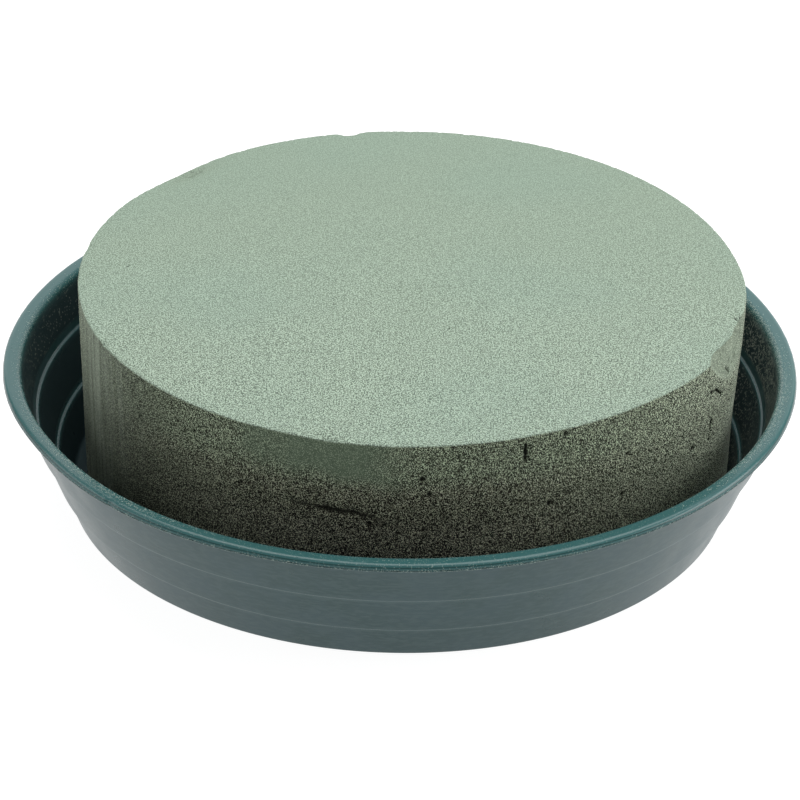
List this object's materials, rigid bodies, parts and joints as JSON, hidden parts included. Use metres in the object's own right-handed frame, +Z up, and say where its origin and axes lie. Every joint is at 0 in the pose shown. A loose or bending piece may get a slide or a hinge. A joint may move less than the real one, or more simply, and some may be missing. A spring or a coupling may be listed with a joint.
{
  "type": "floral foam disc in water bowl",
  "caption": "Round block of cut-flower foam standing loose in a shallow flared plastic bowl that holds its water.",
  "frame": {"origin": "centre of the bowl's foot, on the plane the bowl stands on", "axes": "+Z up along the bowl's axis; -Y faces the camera of the reference view; the foam stands a little off the axis towards +X"},
  "size_m": [0.144, 0.144, 0.0418],
  "materials": {
    "bowl_plastic": "satin",
    "foam": "matte"
  },
  "bodies": {
    "bowl": {"bowl": "bowl_plastic"},
    "foam": {"foam_block": "foam"}
  },
  "joints": [
    {"name": "foam_lift", "type": "slide", "parent": "bowl", "child": "foam", "axis": [0, 0, 1], "range_m": [0, 0.05]}
  ]
}
